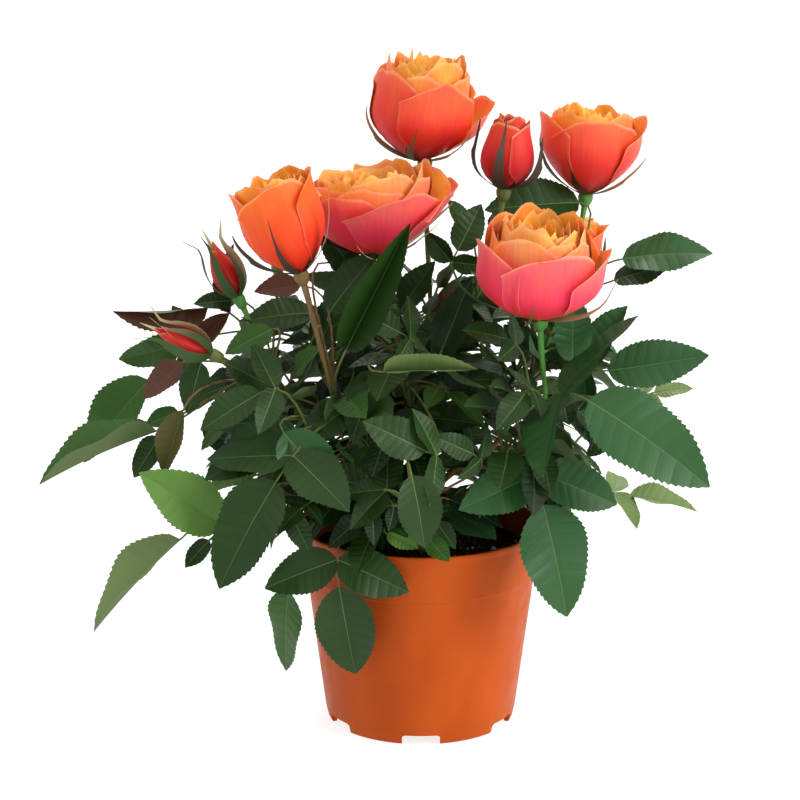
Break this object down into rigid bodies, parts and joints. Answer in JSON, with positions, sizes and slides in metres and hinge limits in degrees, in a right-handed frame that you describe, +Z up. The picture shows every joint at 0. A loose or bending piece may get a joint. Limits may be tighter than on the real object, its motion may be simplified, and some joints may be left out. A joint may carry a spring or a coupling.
{
  "type": "potted rose bush",
  "caption": "Small rose bush in flower, with double blooms, buds and compound leaves on thin canes, standing in a round tapered nursery pot.",
  "frame": {"origin": "centre of the flat underside of the pot, at floor level", "axes": "+Z up along the pot's axis; -Y toward the side that the picture shows, +X to its right"},
  "size_m": [0.3322, 0.232, 0.3329],
  "materials": {
    "pot": "satin terracotta orange, faintly mottled",
    "soil": "dark moist peat, granular",
    "short_stem": "rough brown bark",
    "canes": "green to olive brown, with a few thorns",
    "foliage": "dark green leaf, satin above and pale and dull below",
    "blooms": "soft coral petals that turn orange and yellow inside",
    "buds": "green and brown sepals over deep red petals"
  },
  "bodies": {
    "root": {"pot": "pot", "soil": "soil", "short_stem": "short_stem", "cane_back": "canes", "cane_back_left": "canes", "cane_back_right": "canes", "cane_front": "canes", "cane_front_left": "canes", "cane_front_right": "canes", "cane_left": "canes", "cane_right": "canes", "cane_top": "canes", "foliage_back": "foliage", "foliage_back_left": "foliage", "foliage_back_right": "foliage", "foliage_front": "foliage", "foliage_front_left": "foliage", "foliage_front_right": "foliage", "foliage_left": "foliage", "foliage_right": "foliage", "foliage_top": "foliage", "skirt_back": "foliage", "skirt_back_left": "foliage", "skirt_back_right": "foliage", "skirt_front": "foliage", "skirt_front_left": "foliage", "skirt_left": "foliage", "skirt_right": "foliage", "bloom_back": "blooms", "bloom_back_right": "blooms", "bloom_centre": "blooms", "bloom_front_right": "blooms", "bloom_left": "blooms", "bloom_right": "blooms", "bloom_top": "blooms", "bud_back_left": "buds", "bud_half_open": "buds", "bud_left_lower": "buds", "bud_left_upper": "buds"}
  },
  "joints": []
}
